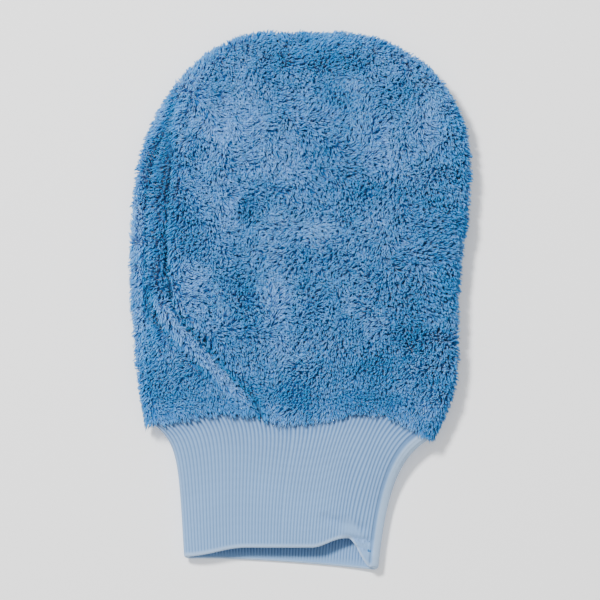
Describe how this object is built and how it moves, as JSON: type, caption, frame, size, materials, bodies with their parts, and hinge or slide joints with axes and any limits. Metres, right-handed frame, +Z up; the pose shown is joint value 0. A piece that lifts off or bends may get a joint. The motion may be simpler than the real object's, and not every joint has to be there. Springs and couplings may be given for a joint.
{
  "type": "wash mitt",
  "caption": "Fingerless plush wash mitt: two deep-pile panels sewn and turned, with a folded rib knit cuff sewn to its mouth.",
  "frame": {"origin": "centre of the bounding box's underside, on the surface the mitt lies on", "axes": "+X across the hand, +Y from the cuff to the fingertips, +Z up from the surface"},
  "size_m": [0.1719, 0.2701, 0.033],
  "materials": {
    "plush_pile": "deep matt microfibre pile",
    "ground_knit": "matt warp knit",
    "rib_knit": "matt 1x1 rib knit",
    "sewing_thread": "spun polyester thread"
  },
  "bodies": {
    "mitt": {"front_ground": "ground_knit", "front_pile": "plush_pile", "back_ground": "ground_knit", "back_pile": "plush_pile", "edge_lockstitch": "sewing_thread", "edge_overlock": "sewing_thread", "join_lockstitch": "sewing_thread", "join_overlock": "sewing_thread"},
    "cuff": {"rib_cuff": "rib_knit", "cuff_side_seam": "sewing_thread"}
  },
  "joints": [
    {"name": "cuff_bend", "type": "hinge", "parent": "mitt", "child": "cuff", "pos_m": [0, -0.056, 0.022], "axis": [-1, 0, 0], "range_deg": [0, 75], "stiffness_Nm_per_rad": 0.005}
  ]
}
